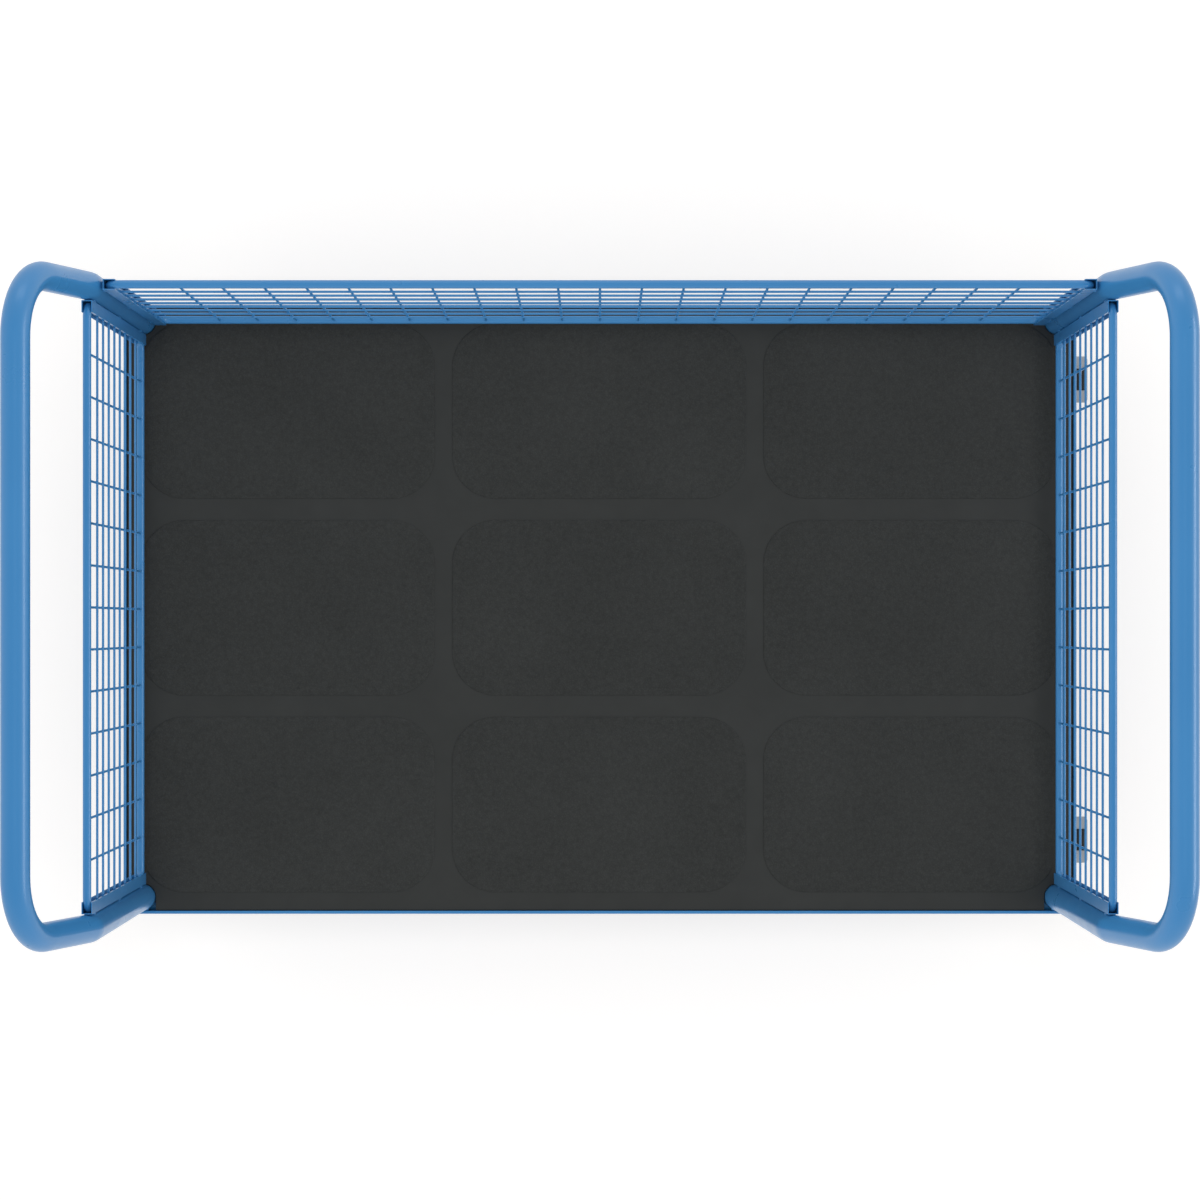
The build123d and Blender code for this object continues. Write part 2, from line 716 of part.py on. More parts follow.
def make_brake(name, x, y):
    """Foot pedal on a pin through the fork's lugs. Pressed down, its shoe bar nears the tyre."""
    axle_x = x + trail
    pivot = (axle_x + pedal_pivot_x, axle_height + pedal_pivot_z)
    tread_low = pivot[1] - tread_drop
    tip = axle_x + wheel_radius + pedal_overhang
    heel = pivot[0] + lug_radius + 1
    cheek_inner = arm_offset + arm_thickness / 2 + fork_play / 2
    shoe_reach = wheel_radius + shoe_gap + shoe_radius
    shoe = (
        axle_x + shoe_reach * cos(radians(shoe_angle)),
        axle_height + shoe_reach * sin(radians(shoe_angle)),
    )
    with BuildPart() as pedal:
        with BuildSketch(level((heel + tip) / 2, y, tread_low)):
            RectangleRounded(tip - heel, 2 * (cheek_inner + pedal_thickness), pedal_corner)
        extrude(amount=pedal_thickness)
        for side in (-1, 1):
            cheek_middle = side * (cheek_inner + pedal_thickness / 2)
            with BuildSketch(upright(0, y + cheek_middle, 0)):
                with Locations(pivot):
                    Circle(lug_radius - 1)
                with Locations((heel + 10, tread_low + pedal_thickness / 2)):
                    Rectangle(16, pedal_thickness)
                with Locations(shoe):
                    Circle(shoe_radius)
                make_hull()
                with Locations(pivot):
                    Circle(pivot_radius + running_fit, mode=Mode.SUBTRACT)
            extrude(amount=pedal_thickness / 2, both=True)
        with BuildSketch(upright(shoe[0], y, shoe[1])):
            Circle(shoe_radius)
        extrude(amount=cheek_inner + pedal_thickness / 2, both=True)
    save(pedal, f"{name}_brake_pedal")

    with BuildPart() as pad:
        with BuildSketch(level((heel + tip) / 2, y, tread_low + pedal_thickness)):
            RectangleRounded(tip - heel - 2, pedal_pad_width, 4)
        extrude(amount=pedal_pad_thickness)
        fillet(pad.faces().sort_by(Axis.Z)[-1].edges(), 1)
    save(pad, f"{name}_pedal_pad")

    outer = cheek_inner + pedal_thickness
    with BuildPart() as pin:
        with BuildSketch(across(pivot[0], y - outer, pivot[1])):
            Circle(pivot_radius)
        extrude(amount=2 * outer)
        for side in (-1, 1):
            with BuildSketch(across(pivot[0], y + side * (outer + pin_head / 2), pivot[1])):
                Circle(pivot_radius + 2)
            extrude(amount=pin_head / 2, both=True)
    save(pin, f"{name}_brake_pin")


def make_swivel_caster(name, x, y):
    make_swivel_head(name, x, y)
    make_wheel(name, x + trail, y)
    make_brake(name, x, y)
    with BuildPart() as bolt:
        axle_bolt(x + trail, y)
    save(bolt, f"{name}_axle_bolt")
    with BuildPart() as nut:
        axle_nut(x + trail, y)
    save(nut, f"{name}_axle_nut")


make_frame()
make_braces()
make_mounting_plates()
make_board()
make_mat()
make_hoop("left_hoop", -1)
make_hoop("right_hoop", 1)
make_foot_plugs()
make_hoop_bolts()
make_caster_bolts()
make_deck_screws()
make_channels()
make_panels()
make_fixed_caster("left_front", -caster_x, -caster_y)
make_fixed_caster("left_back", -caster_x, caster_y)
make_fixed_axles()
make_swivel_caster("right_front", caster_x, -caster_y)
make_swivel_caster("right_back", caster_x, caster_y)
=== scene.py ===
import json
import math

import bmesh
import bpy
import numpy as np
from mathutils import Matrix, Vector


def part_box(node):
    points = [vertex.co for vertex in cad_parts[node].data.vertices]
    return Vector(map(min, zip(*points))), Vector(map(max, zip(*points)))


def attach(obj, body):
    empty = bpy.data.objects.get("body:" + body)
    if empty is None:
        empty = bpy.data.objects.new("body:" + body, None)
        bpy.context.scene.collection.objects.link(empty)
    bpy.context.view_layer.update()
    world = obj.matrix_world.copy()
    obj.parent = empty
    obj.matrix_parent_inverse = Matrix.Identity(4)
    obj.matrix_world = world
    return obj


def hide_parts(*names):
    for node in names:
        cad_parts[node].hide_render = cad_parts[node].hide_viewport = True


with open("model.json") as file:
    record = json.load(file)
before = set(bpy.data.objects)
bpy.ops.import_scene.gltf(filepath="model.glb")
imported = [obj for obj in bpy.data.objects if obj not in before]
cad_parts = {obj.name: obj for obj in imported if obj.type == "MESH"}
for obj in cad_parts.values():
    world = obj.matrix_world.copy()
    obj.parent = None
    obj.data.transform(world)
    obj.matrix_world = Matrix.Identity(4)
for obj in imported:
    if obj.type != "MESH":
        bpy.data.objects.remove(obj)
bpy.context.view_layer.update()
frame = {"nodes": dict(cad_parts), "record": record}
record = frame["record"]
mm = 0.001
print("frame loaded:", len(frame["nodes"]), "nodes")


# Camera, straight above: metres over the mat and to the side, the lens in mm
cameraValues = {"height": 4.699, "side": -0.0223, "lens": 106.8, "shiftY": 0.0218}


def makeCamera(values):
    data = bpy.data.cameras.new("camera")
    data.lens = values["lens"]
    data.sensor_width = 36
    data.shift_y = values["shiftY"]
    data.clip_end = 100
    view = bpy.data.objects.new("camera", data)
    view.location = (0, values["side"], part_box("deck_mat")[1].z + values["height"])
    bpy.context.scene.collection.objects.link(view)
    bpy.context.scene.camera = view


makeCamera(cameraValues)
print("camera placed")


# Materials
def linearColour(hexText):  # sRGB hex to linear RGBA
    parts = [int(hexText[i:i + 2], 16) / 255 for i in (1, 3, 5)]
    return tuple(c / 12.92 if c <= 0.04045 else ((c + 0.055) / 1.055) ** 2.4 for c in parts) + (1.0,)


def addNode(tree, kind, settings, links=()):  # lower-case settings are the node's own, the others its sockets
    node = tree.nodes.new(kind)
    for key, value in settings.items():
        if isinstance(key, str) and hasattr(node, key):
            setattr(node, key, value)
        else:
            node.inputs[key].default_value = value
    for socket, source in links:
        tree.links.new(source, node.inputs[socket])
    return node


def startMaterial(name, sockets):
    material = bpy.data.materials.new(name)
    material.use_nodes = True
    tree = material.node_tree
    shader = tree.nodes["Principled BSDF"]
    for key, value in sockets.items():
        shader.inputs[key].default_value = value
    place = addNode(tree, "ShaderNodeTexCoord", {}).outputs["Object"]
    return material, tree, shader, place


def cloud(tree, place, sizeMm, detail=2.0, roughness=0.5):  # soft noise whose blobs are sizeMm across
    settings = {"Scale": 1 / (sizeMm * mm), "Detail": detail, "Roughness": roughness}
    return addNode(tree, "ShaderNodeTexNoise", settings, [("Vector", place)]).outputs["Fac"]


def spread(tree, value, low, high, fromLow=0.3, fromHigh=0.7):  # a pattern's middle range onto low to high
    settings = {"From Min": fromLow, "From Max": fromHigh, "To Min": low, "To Max": high}
    return addNode(tree, "ShaderNodeMapRange", settings, [("Value", value)]).outputs["Result"]


def blendColours(tree, factor, first, second):  # two sRGB colours mixed by a pattern
    settings = {"data_type": "RGBA", 6: linearColour(first), 7: linearColour(second)}
    return addNode(tree, "ShaderNodeMix", settings, [(0, factor)]).outputs[2]


def addBump(tree, shader, height, depthMm):
    bump = addNode(tree, "ShaderNodeBump", {"Distance": depthMm * mm, "Strength": 1.0}, [("Height", height)])
    tree.links.new(bump.outputs["Normal"], shader.inputs["Normal"])


# Every finish: two close colours in patches, a roughness that wanders and a fine surface relief.
finishValues = {
    # Polyester powder coat on steel: semi-gloss, faintly pebbled (orange peel) and even in colour.
    "blue powder coat": {
        "colours": ("#347EB8", "#3A84BE"), "patchMm": 260, "roughness": (0.27, 0.34), "wanderMm": 60,
        "grainMm": 2.6, "reliefMm": 0.02, "sockets": {"IOR": 1.5},
    },
    # Die-cut and pressed sheet, bright zinc plated: cool grey with dull patches and roller marks.
    "bright zinc pressing": {
        "colours": ("#BDC0C3", "#CACDCF"), "patchMm": 22, "roughness": (0.26, 0.42), "wanderMm": 9,
        "grainMm": 0.9, "reliefMm": 0.012, "sockets": {"Metallic": 1.0},
    },
    # Cold-headed bolts and nuts, zinc plated and passivated: a little yellower and duller than the sheet.
    "passivated zinc": {
        "colours": ("#B8B6AC", "#CBC9C2"), "patchMm": 5, "roughness": (0.3, 0.45), "wanderMm": 3,
        "grainMm": 0.5, "reliefMm": 0.01, "sockets": {"Metallic": 1.0},
    },
    # Ground bearing steel: darker, smooth and sharply bright.
    "ground bearing steel": {
        "colours": ("#9C9EA1", "#AEB0B2"), "patchMm": 4, "roughness": (0.12, 0.2), "wanderMm": 2,
        "grainMm": 0.4, "reliefMm": 0.003, "sockets": {"Metallic": 1.0},
    },
    # Injection-moulded polypropylene: waxy satin with a fine spark-eroded texture.
    "grey polypropylene": {
        "colours": ("#6A6D70", "#727578"), "patchMm": 45, "roughness": (0.42, 0.55), "wanderMm": 15,
        "grainMm": 0.7, "reliefMm": 0.02, "sockets": {"IOR": 1.49},
    },
    # Solid rubber tyre: matt black that greys where it is scuffed and dusty.
    "solid tyre rubber": {
        "colours": ("#1D1E1F", "#2C2C2B"), "patchMm": 18, "roughness": (0.68, 0.86), "wanderMm": 8,
        "grainMm": 0.8, "reliefMm": 0.03, "sockets": {"IOR": 1.52, "Specular IOR Level": 0.35},
    },
    # Moulded rubber of the pedal pads, softer and a shade lighter.
    "pedal rubber": {
        "colours": ("#232425", "#2D2E2F"), "patchMm": 9, "roughness": (0.6, 0.75), "wanderMm": 5,
        "grainMm": 0.6, "reliefMm": 0.02, "sockets": {"IOR": 1.52, "Specular IOR Level": 0.35},
    },
    # The mat's plain bands: smooth moulded rubber, a little sheen left by the mould.
    "mat rubber": {
        "colours": ("#2A2C2B", "#2D2F2E"), "patchMm": 90, "roughness": (0.66, 0.76), "wanderMm": 30,
        "grainMm": 1.2, "reliefMm": 0.02, "sockets": {"IOR": 1.5, "Specular IOR Level": 0.42},
    },
}


def makeFinish(name, values):
    shades = values["colours"]
    low, high = values["roughness"]
    material, tree, shader, place = startMaterial(name, values["sockets"])
    patches = spread(tree, cloud(tree, place, values["patchMm"]), 0, 1)
    tree.links.new(blendColours(tree, patches, *shades), shader.inputs["Base Color"])
    wander = spread(tree, cloud(tree, place, values["wanderMm"], 4.0), low, high)
    tree.links.new(wander, shader.inputs["Roughness"])
    addBump(tree, shader, cloud(tree, place, values["grainMm"], 3.0), values["reliefMm"])
    return material


# Raised pads of the mat: the same rubber moulded with a leather grain, cells about 2 mm across with creases
# between them. The cells are drawn at 3 mm, or they would be lost at the scene's scale.
padGrain = {
    "cellMm": 3.0, "creaseMm": 0.16, "wrinkleMm": 9.0, "colours": ("#232524", "#323433"), "mottleMm": 5.0,
    "broadMm": 160.0, "roughness": (0.7, 0.86),
}


def makePadMaterial(values):
    material, tree, shader, place = startMaterial("grained mat rubber", {"IOR": 1.5, "Specular IOR Level": 0.42})
    warp = addNode(tree, "ShaderNodeTexNoise", {"Scale": 1 / (values["wrinkleMm"] * mm)}, [("Vector", place)])
    scaled = addNode(tree, "ShaderNodeVectorMath", {"operation": "SCALE", "Scale": values["cellMm"] * mm},
                     [(0, warp.outputs["Color"])])
    moved = addNode(tree, "ShaderNodeVectorMath", {"operation": "ADD"},
                    [(0, place), (1, scaled.outputs["Vector"])]).outputs["Vector"]
    cells = addNode(tree, "ShaderNodeTexVoronoi",
                    {"feature": "DISTANCE_TO_EDGE", "Scale": 1 / (values["cellMm"] * mm)}, [("Vector", moved)])
    domes = spread(tree, cells.outputs["Distance"], 0, 1, 0.0, 0.28)
    mottle = spread(tree, cloud(tree, place, values["mottleMm"], 5.0, 0.65), 0, 0.7, 0.32, 0.68)
    broad = spread(tree, cloud(tree, place, values["broadMm"]), 0, 0.3)
    shade = addNode(tree, "ShaderNodeMath", {"operation": "ADD"}, [(0, mottle), (1, broad)]).outputs["Value"]
    tree.links.new(blendColours(tree, shade, *values["colours"]), shader.inputs["Base Color"])
    tree.links.new(spread(tree, domes, values["roughness"][1], values["roughness"][0], 0, 1),
                   shader.inputs["Roughness"])
    addBump(tree, shader, domes, values["creaseMm"])
    return material


# Birch plywood under the mat: a dark phenolic film on the faces, 1.5 mm veneers showing at the edges.
plywood = {"film": ("#4A2F20", "#3B2519"), "veneers": ("#B98F5E", "#8A6238"), "plyMm": 1.5, "grainMm": 14.0,
           "roughness": (0.42, 0.58)}


def makePlywood(values):
    material, tree, shader, place = startMaterial("film faced plywood", {"IOR": 1.52})
    stretched = addNode(tree, "ShaderNodeMapping", {"Scale": (0.06, 1.0, 1.0)}, [("Vector", place)])
    fibres = spread(tree, cloud(tree, stretched.outputs["Vector"], values["grainMm"], 6.0, 0.6), 0, 1)
    film = blendColours(tree, fibres, *values["film"])
    parts = addNode(tree, "ShaderNodeSeparateXYZ", {}, [("Vector", place)])
    turns = addNode(tree, "ShaderNodeMath", {"operation": "MULTIPLY", 1: math.pi / (values["plyMm"] * mm)},
                    [(0, parts.outputs["Z"])])
    layers = addNode(tree, "ShaderNodeMath", {"operation": "SINE"}, [(0, turns.outputs["Value"])])
    edge = blendColours(tree, spread(tree, layers.outputs["Value"], 0, 1, -0.3, 0.3), *values["veneers"])
    facing = addNode(tree, "ShaderNodeNewGeometry", {})
    upright = addNode(tree, "ShaderNodeSeparateXYZ", {}, [("Vector", facing.outputs["True Normal"])])
    flat = addNode(tree, "ShaderNodeMath", {"operation": "ABSOLUTE"}, [(0, upright.outputs["Z"])])
    mix = addNode(tree, "ShaderNodeMix", {"data_type": "RGBA"},
                  [(0, spread(tree, flat.outputs["Value"], 0, 1, 0.4, 0.6)), (6, edge), (7, film)])
    tree.links.new(mix.outputs[2], shader.inputs["Base Color"])
    tree.links.new(spread(tree, fibres, *values["roughness"], 0, 1), shader.inputs["Roughness"])
    addBump(tree, shader, fibres, 0.03)
    return material


finishes = {name: makeFinish(name, values) for name, values in finishValues.items()}
finishes["grained mat rubber"] = makePadMaterial(padGrain)
finishes["film faced plywood"] = makePlywood(plywood)

slotFinish = {
    "blue_powder_coat": "blue powder coat", "deck_mat_rubber": "mat rubber", "deck_plywood": "film faced plywood",
    "zinc_pressing": "bright zinc pressing", "zinc_fasteners": "passivated zinc",
    "bearing_steel": "ground bearing steel", "tyre_rubber": "solid tyre rubber",
    "grey_polypropylene": "grey polypropylene", "pedal_rubber": "pedal rubber",
}
nodeSlot = {part["node"]: part["material_slot"] for part in record["subparts"]}
nodeBody = {node: body for body, nodes in record["behaviour"]["bodies"].items() for node in nodes}
for name, node in frame["nodes"].items():
    node.data.materials.clear()
    node.data.materials.append(finishes[slotFinish[nodeSlot[name]]])
print("materials made:", len(finishes))


# Mesh helpers
def gridFaces(rows, columns, wrapRows=False, wrapColumns=False, start=0):  # quads of a grid of points
    r = np.arange(rows if wrapRows else rows - 1)[:, None]
    c = np.arange(columns if wrapColumns else columns - 1)[None, :]
    r2, c2 = (r + 1) % rows, (c + 1) % columns
    quads = np.stack([r * columns + c, r * columns + c2, r2 * columns + c2, r2 * columns + c], -1)
    return (quads.reshape(-1, 4) + start).tolist()


def joinShells(shells):  # several (points, faces) into one
    points, faces, start = [], [], 0
    for shellPoints, shellFaces in shells:
        points.append(shellPoints)
        faces += [tuple(i + start for i in face) for face in shellFaces]
        start += len(shellPoints)
    return np.concatenate(points), faces


def outward(points, faces):  # turns the faces round if the closed shell they make is inside out
    first = points[[f[0] for f in faces for _ in f[2:]]]
    second = points[[f[i] for f in faces for i in range(1, len(f) - 1)]]
    third = points[[f[i + 1] for f in faces for i in range(1, len(f) - 1)]]
    volume = np.einsum("ij,ij->i", first, np.cross(second, third)).sum()
    return faces if volume > 0 else [tuple(reversed(f)) for f in faces]


def makePiece(name, shells, body, slot, finish=None, crease=40.0):  # shells joined into one object on a body
    shells = [(points, outward(points, faces)) for points, faces in shells]
    points, faces = joinShells(shells)
    mesh = bpy.data.meshes.new(name)
    mesh.from_pydata(points.tolist(), [], faces)
    mesh.polygons.foreach_set("use_smooth", np.ones(len(faces), bool))
    mesh.set_sharp_from_angle(angle=math.radians(crease))
    mesh.materials.append(finishes[finish or slotFinish[slot]])
    piece = bpy.data.objects.new(name, mesh)
    bpy.context.scene.collection.objects.link(piece)
    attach(piece, body)
    return piece


def rings(loops):  # closed shell from a stack of equal loops, capped at both ends
    count, around = loops.shape[:2]
    faces = gridFaces(count, around, wrapColumns=True)
    last = (count - 1) * around
    faces += [tuple(reversed(range(around))), tuple(range(last, last + around))]
    return loops.reshape(-1, 3), faces


def revolved(profile, centre, segments=96):
    # point(s, t) = centre + (r(s) cos t, y(s), r(s) sin t), the closed profile (r, y) turned about the axle
    turn = np.linspace(0, 2 * math.pi, segments, endpoint=False)[:, None]
    r, y = profile[None, :, 0], profile[None, :, 1]
    points = np.stack([r * np.cos(turn), y + 0 * turn, r * np.sin(turn)], -1) + centre
    return points.reshape(-1, 3), gridFaces(segments, len(profile), True, True)


def bead(path, radius, ripple=2.2 * mm, around=8):
    # A weld bead: circles of radius(s) carried along the path. The radius falls to a third at the ends and
    # swells by a tenth at each ripple, as the pool freezes.
    steps = np.diff(path, axis=0, prepend=path[:1])
    length = np.cumsum(np.linalg.norm(steps, axis=1))
    along = np.gradient(path, axis=0)
    along /= np.linalg.norm(along, axis=1)[:, None]
    helper = np.where(np.abs(along[:, 2:]) < 0.9, [[0.0, 0.0, 1.0]], [[1.0, 0.0, 0.0]])
    side = np.cross(along, helper)
    side /= np.linalg.norm(side, axis=1)[:, None]
    up = np.cross(side, along)
    s = length / length[-1]
    taper = np.clip(1.0 - np.abs(2 * s - 1) ** 10, 0.12, 1) ** 0.5
    size = radius * taper * (1 + 0.1 * np.cos(2 * math.pi * length / ripple))
    turn = np.linspace(0, 2 * math.pi, around, endpoint=False)
    loops = path[:, None] + size[:, None, None] * (
        np.cos(turn)[None, :, None] * side[:, None] + np.sin(turn)[None, :, None] * up[:, None])
    return rings(loops)


def line(start, end, step=0.7 * mm):  # evenly spaced points on a straight run
    start, end = np.array(start, float), np.array(end, float)
    count = max(6, int(np.linalg.norm(end - start) / step))
    return start + (end - start) * np.linspace(0, 1, count)[:, None]


# Places read off the frame
legValues = {"plug": 14.8, "tube": 16.85, "plugRise": 30.0, "flange": 4.0}  # radii, then heights, all in mm

boardHigh = np.array(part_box("deck_board")[1])
plugHigh = np.array(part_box("hoop_foot_plugs")[1])
legX, legY = plugHigh[:2] - legValues["plug"] * mm
tubeRadius = legValues["tube"] * mm
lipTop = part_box("rail_front")[1].z
flangeLow = plugHigh[2] - (legValues["plugRise"] + legValues["flange"]) * mm
quadrants = [(sx, sy) for sx in (-1, 1) for sy in (-1, 1)]

# Deck mat
matValues = {
    "band": 3.0, "relief": 1.0, "gapX": 22.9, "gapY": 28.4, "marginX": 19.8, "marginY": 22.0, "corner": 57.0,
    "shift": (-1.2, 2.0), "edgeRound": 0.8, "legGap": 0.8, "edgeGap": 0.5, "cornerPoints": 24,
}  # all in mm


def matOutline(inset, values):  # the sheet's outline with a quarter-round notch for each leg, moved in by inset
    notch = tubeRadius + values["legGap"] * mm + inset
    far = boardHigh[:2] - values["edgeGap"] * mm - inset
    turn = np.linspace(0, math.pi / 2, values["cornerPoints"])[:, None]
    loop = []
    for sx, sy, flip in ((1, 1, False), (-1, 1, True), (-1, -1, False), (1, -1, True)):
        arc = np.concatenate([-np.sin(turn) * notch, -np.cos(turn) * notch], 1) + (legX, legY)
        part = np.concatenate([[(far[0], legY - notch)], arc, [(legX - notch, far[1])]]) * (sx, sy)
        loop.append(part[::-1] if flip else part)
    return np.concatenate(loop)


def padLoop(inset, width, depth, corner, count):  # a rounded rectangle moved in by inset, all in metres
    turn = np.linspace(0, math.pi / 2, count)[None, :] + np.arange(4)[:, None] * math.pi / 2
    signs = np.array([(1, 1), (-1, 1), (-1, -1), (1, -1)])[:, None]
    middle = signs * ((width / 2 - corner), (depth / 2 - corner))
    ring = np.stack([np.cos(turn), np.sin(turn)], -1) * (corner - inset)
    return (middle + ring).reshape(-1, 2)


def lift(loop, z):
    return np.concatenate([loop, np.full((len(loop), 1), z)], 1)


def makeMat(values):
    low = boardHigh[2]
    top = low + values["band"] * mm
    edge = values["edgeRound"] * mm
    turn = np.linspace(0, math.pi / 2, 5)
    profile = [(0, low)] + [(edge * (1 - math.cos(a)), top - edge * (1 - math.sin(a))) for a in turn]
    sheet = rings(np.stack([lift(matOutline(inset, values), z) for inset, z in profile]))
    width = 2 * (boardHigh[0] - (values["marginX"] + values["gapX"]) * mm) / 3
    depth = 2 * (boardHigh[1] - (values["marginY"] + values["gapY"]) * mm) / 3
    # Pad section, mm in from its edge and mm above the band: a near upright foot, then a soft shoulder.
    section = [(0, -0.6), (0, 0.05), (0.12, 0.4), (0.45, 0.7), (1.1, 0.9), (2.2, 0.98), (3.6, 1.0), (12, 1.0)]
    base = np.stack([lift(padLoop(inset * mm, width, depth, values["corner"] * mm, values["cornerPoints"]),
                          top + rise * mm * values["relief"]) for inset, rise in section])
    pads = []
    for column in (-1, 0, 1):
        for row in (-1, 0, 1):
            x = column * (width + values["gapX"] * mm) + values["shift"][0] * mm
            y = row * (depth + values["gapY"] * mm) + values["shift"][1] * mm
            pads.append(rings(base + (x, y, 0)))
    band = makePiece("deckMatBand", [sheet], "root", "deck_mat_rubber", "mat rubber")
    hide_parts("deck_mat")
    makePiece("deckMatPads", pads, "root", "deck_mat_rubber", "grained mat rubber", 60.0)


makeMat(matValues)
print("mat moulded")

# Mesh panels: a pressed weld at each crossing and at each wire's end, a butt weld in the bottom rod
meshValues = {"pitch": 50.0, "nugget": (2.3, 1.15), "ends": 2.1, "endSink": 0.3, "wire": 3.0, "rod": 10.0,
              "flash": 0.35, "flashPlace": 60.0, "flashPoints": 24}


def sphereUnit():  # 26 points, 32 faces: two poles and three rings of eight
    ringTurn = np.linspace(0, 2 * math.pi, 8, endpoint=False)
    points = [(0, 0, 1)]
    for tilt in (math.pi / 4, math.pi / 2, 3 * math.pi / 4):
        wide, high = math.sin(tilt), math.cos(tilt)
        points += [(wide * math.cos(a), wide * math.sin(a), high) for a in ringTurn]
    points.append((0, 0, -1))
    faces = [(0, 1 + i, 1 + (i + 1) % 8) for i in range(8)]
    faces += [tuple(reversed(f)) for f in gridFaces(3, 8, wrapColumns=True, start=1)]
    faces += [(25, 17 + (i + 1) % 8, 17 + i) for i in range(8)]
    return np.array(points), faces


def spreadSpheres(centres, radii):  # one squashed sphere at each centre, worked out in one array
    unit, faces = sphereUnit()
    points = np.asarray(centres)[:, None] + unit[None] * np.asarray(radii)
    starts = np.arange(len(points)) * len(unit)
    every = [tuple(i + start for i in face) for start in starts for face in faces]
    return points.reshape(-1, 3), every


def makeMeshWelds(side, values):
    along, across = (0, 1) if side == "back" else (1, 0)
    rodLow, rodHigh = (np.array(c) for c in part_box(f"{side}_border_rod"))
    upLow, upHigh = (np.array(c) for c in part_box(f"{side}_upright_wires"))
    crossLow, crossHigh = (np.array(c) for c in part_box(f"{side}_cross_wires"))
    rod, wire, pitch = (values[k] * mm for k in ("rod", "wire", "pitch"))
    columns = np.arange(upLow[along] + wire / 2, upHigh[along], pitch)
    rows = np.arange(crossLow[2] + wire / 2, crossHigh[2], pitch)
    plane = (upLow[across] + upHigh[across]) / 2
    crossPlane = (crossLow[across] + crossHigh[across]) / 2
    wide, thin = (v * mm for v in values["nugget"])
    u, z = (v.ravel() for v in np.meshgrid(columns, rows))
    crossings = np.zeros((len(u), 3))
    crossings[:, along], crossings[:, 2], crossings[:, across] = u, z, (plane + crossPlane) / 2
    radii = np.full(3, wide)
    radii[across] = thin
    shells = [spreadSpheres(crossings, radii)]
    inner = rod - values["endSink"] * mm
    ends = []
    for zEnd in (rodLow[2] + inner, rodHigh[2] - inner):
        points = np.zeros((len(columns), 3))
        points[:, along], points[:, across], points[:, 2] = columns, plane, zEnd
        ends.append(points)
    for uEnd in (rodLow[along] + inner, rodHigh[along] - inner):
        points = np.zeros((len(rows), 3))
        points[:, along], points[:, across], points[:, 2] = uEnd, crossPlane, rows
        ends.append(points)
    shells.append(spreadSpheres(np.concatenate(ends), np.full(3, values["ends"] * mm)))
    count = values["flashPoints"]
    turn = np.linspace(0, 2 * math.pi, count, endpoint=False)
    middle = (rodLow[along] + rodHigh[along]) / 2 + values["flashPlace"] * mm
    collar = []
    for offset, rise in ((-1.6, -0.3), (-1.0, 0.15), (-0.3, 0.9), (0.3, 1.0), (1.0, 0.2), (1.6, -0.3)):
        radius = rod / 2 + rise * values["flash"] * mm
        loop = np.zeros((count, 3))
        loop[:, along] = middle + offset * mm
        loop[:, across] = (rodLow[across] + rodHigh[across]) / 2 + radius * np.cos(turn)
        loop[:, 2] = rodLow[2] + rod / 2 + radius * np.sin(turn)
        collar.append(loop)
    shells.append(rings(np.stack(collar)))
    makePiece(f"{side}MeshWelds", shells, f"{side}_panel", "blue_powder_coat")


for side in ("left", "right", "back"):
    makeMeshWelds(side, meshValues)
print("mesh welds placed")

# Frame welds: tacks between channels and tubes, beads at the legs, the braces and the caster mounting plates
weldValues = {"tackLength": 14.0, "tackRadius": 1.7, "tackPlaces": (40.0, 250.0, 468.0), "tackSpread": 5.0,
              "legRadius": 2.0, "legTurn": 0.5, "legGap": 0.3, "legDrop": 3.4, "filletRadius": 2.4,
              "plateEnd": 14.0, "plateRunX": 104.0, "plateRunY": 86.0, "braceEnd": 2.0, "braceRun": 34.0,
              "braceDrop": 4.0}  # legTurn in radians, the rest in mm


def makeChannelTacks(values):
    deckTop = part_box("deck_mat")[1].z
    middle = tubeRadius + 0.1 * mm
    shells = []
    for low in values["tackPlaces"]:
        z = deckTop + low * mm
        for sx, sy in quadrants:
            for spreadSide in (-1, 1):
                offset = spreadSide * values["tackSpread"] * mm
                panelX = sx * (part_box("right_border_rod")[0].x + meshValues["rod"] * mm / 2)
                places = [(panelX + offset, sy * (legY - middle))]
                if sy > 0:
                    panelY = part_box("back_border_rod")[0].y + meshValues["rod"] * mm / 2
                    places.append((sx * (legX - middle), panelY + offset))
                for x, y in places:
                    shells.append(bead(line((x, y, z), (x, y, z + values["tackLength"] * mm)),
                                       values["tackRadius"] * mm))
    makePiece("channelTackWelds", shells, "root", "blue_powder_coat", crease=70.0)


